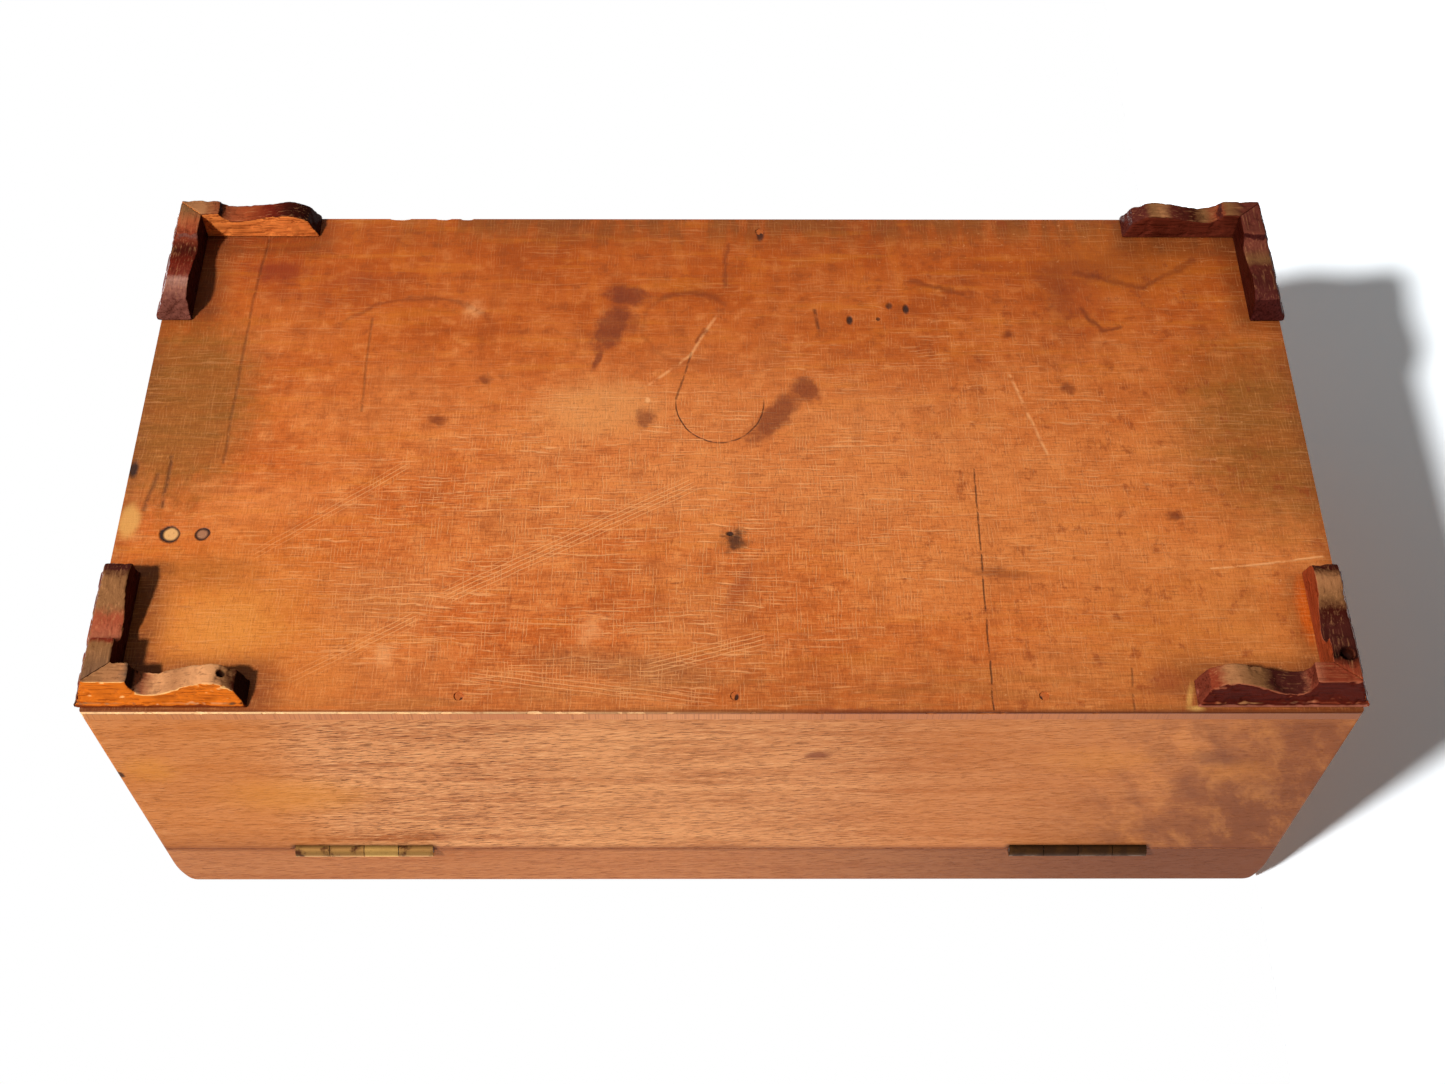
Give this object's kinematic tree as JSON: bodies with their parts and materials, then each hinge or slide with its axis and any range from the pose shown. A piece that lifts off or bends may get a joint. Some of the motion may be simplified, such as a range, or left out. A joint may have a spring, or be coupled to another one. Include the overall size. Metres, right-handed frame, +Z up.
{
  "type": "money box",
  "caption": "Hinged wooden money box on bracket feet: mitred case and lid, coin slot in the lid, butt hinges, and a box lock whose key throws a hooked bolt.",
  "frame": {"origin": "middle of the stance, on the plane of the four soles; the middle of the case in X and Y", "axes": "+X along the length, to the right seen from the front; +Y from the front to the hinged back; +Z up from the soles to the lid"},
  "size_m": [0.3126, 0.1921, 0.1155],
  "materials": {
    "mahogany": "worn wax polish",
    "bottom_board": "worn, scraped with a toothing plane, old shellac",
    "feet": "dark shellac, worn at the edges",
    "brass": "tarnished",
    "steel": "dull"
  },
  "bodies": {
    "case": {"front_board": "mahogany", "back_board": "mahogany", "left_end_board": "mahogany", "right_end_board": "mahogany", "bottom_board": "bottom_board", "bottom_nails": "steel", "bottom_plugs": "bottom_board", "front_left_foot_long_half": "feet", "front_left_foot_end_half": "feet", "front_right_foot_long_half": "feet", "front_right_foot_end_half": "feet", "back_left_foot_long_half": "feet", "back_left_foot_end_half": "feet", "back_right_foot_long_half": "feet", "back_right_foot_end_half": "feet", "left_hinge_case_leaf": "brass", "left_hinge_pin": "steel", "left_hinge_case_screws": "brass", "right_hinge_case_leaf": "brass", "right_hinge_pin": "steel", "right_hinge_case_screws": "brass", "lock_plate": "brass", "lock_cap": "brass", "lock_rivets": "steel", "lock_spring": "steel", "lock_screws": "brass", "keyhole_liner": "brass"},
    "lid": {"lid_top_board": "mahogany", "lid_front_rail": "mahogany", "lid_back_rail": "mahogany", "lid_left_rail": "mahogany", "lid_right_rail": "mahogany", "left_hinge_lid_leaf": "brass", "left_hinge_lid_screws": "brass", "right_hinge_lid_leaf": "brass", "right_hinge_lid_screws": "brass", "link_plate": "brass", "link_plate_screws": "brass"},
    "bolt": {"lock_bolt": "steel"},
    "key": {"key": "brass"}
  },
  "joints": [
    {"name": "lid_hinge", "type": "hinge", "parent": "case", "child": "lid", "pos_m": [0, 0.0802, 0.09065], "axis": [-1, 0, 0], "range_deg": [0, 178]},
    {"name": "key_turn", "type": "hinge", "parent": "case", "child": "key", "pos_m": [0, -0.08, 0.0739], "axis": [0, 1, 0], "range_deg": [0, 60]},
    {"name": "bolt_slide", "type": "slide", "parent": "case", "child": "bolt", "axis": [1, 0, 0], "range_m": [0, 0.005]}
  ],
  "couplings": [
    {"joint": "bolt_slide", "follows": "key_turn", "m_per_rad": 0.004774}
  ]
}
